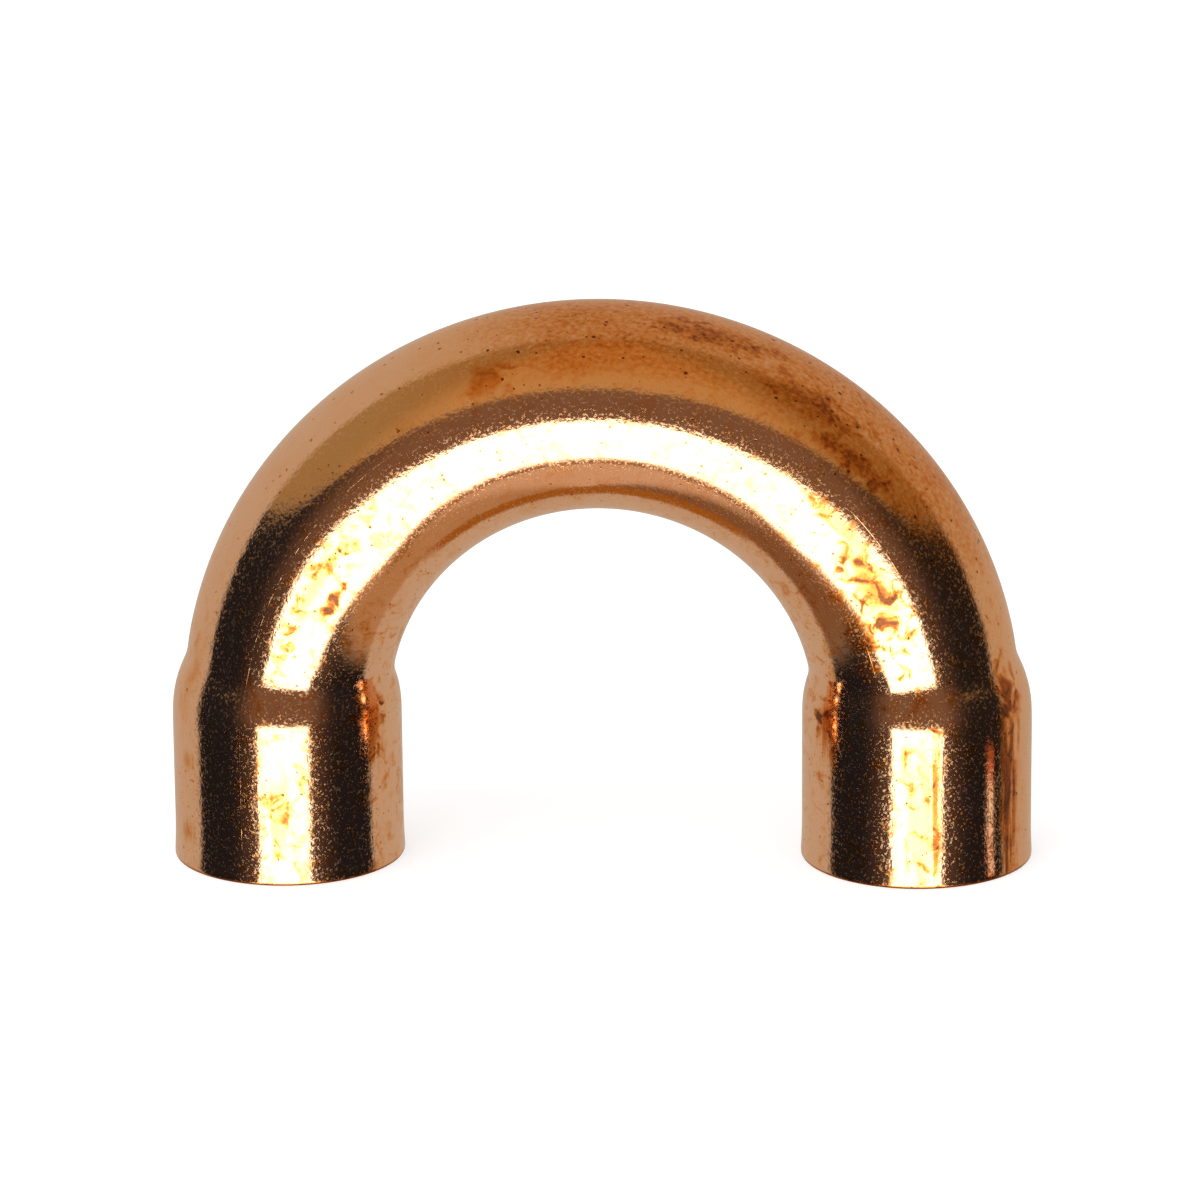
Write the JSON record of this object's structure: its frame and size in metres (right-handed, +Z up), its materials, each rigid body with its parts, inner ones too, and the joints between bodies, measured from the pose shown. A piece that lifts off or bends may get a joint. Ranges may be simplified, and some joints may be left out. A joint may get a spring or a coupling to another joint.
{
  "type": "copper pipe return bend",
  "caption": "Copper tube bent through half a turn, with a capillary solder socket swaged on each end, for turning a pipe run straight back.",
  "frame": {"origin": "midway between the two socket mouths, in the plane of their rims, on which the bend stands", "axes": "+X from one socket's axis to the other's, +Y square to the plane of the bend, +Z up to the crown"},
  "size_m": [0.0916, 0.0246, 0.0605],
  "materials": {
    "copper": "bright drawn copper, lightly tarnished"
  },
  "bodies": {
    "root": {"return_bend": "copper"}
  },
  "joints": []
}
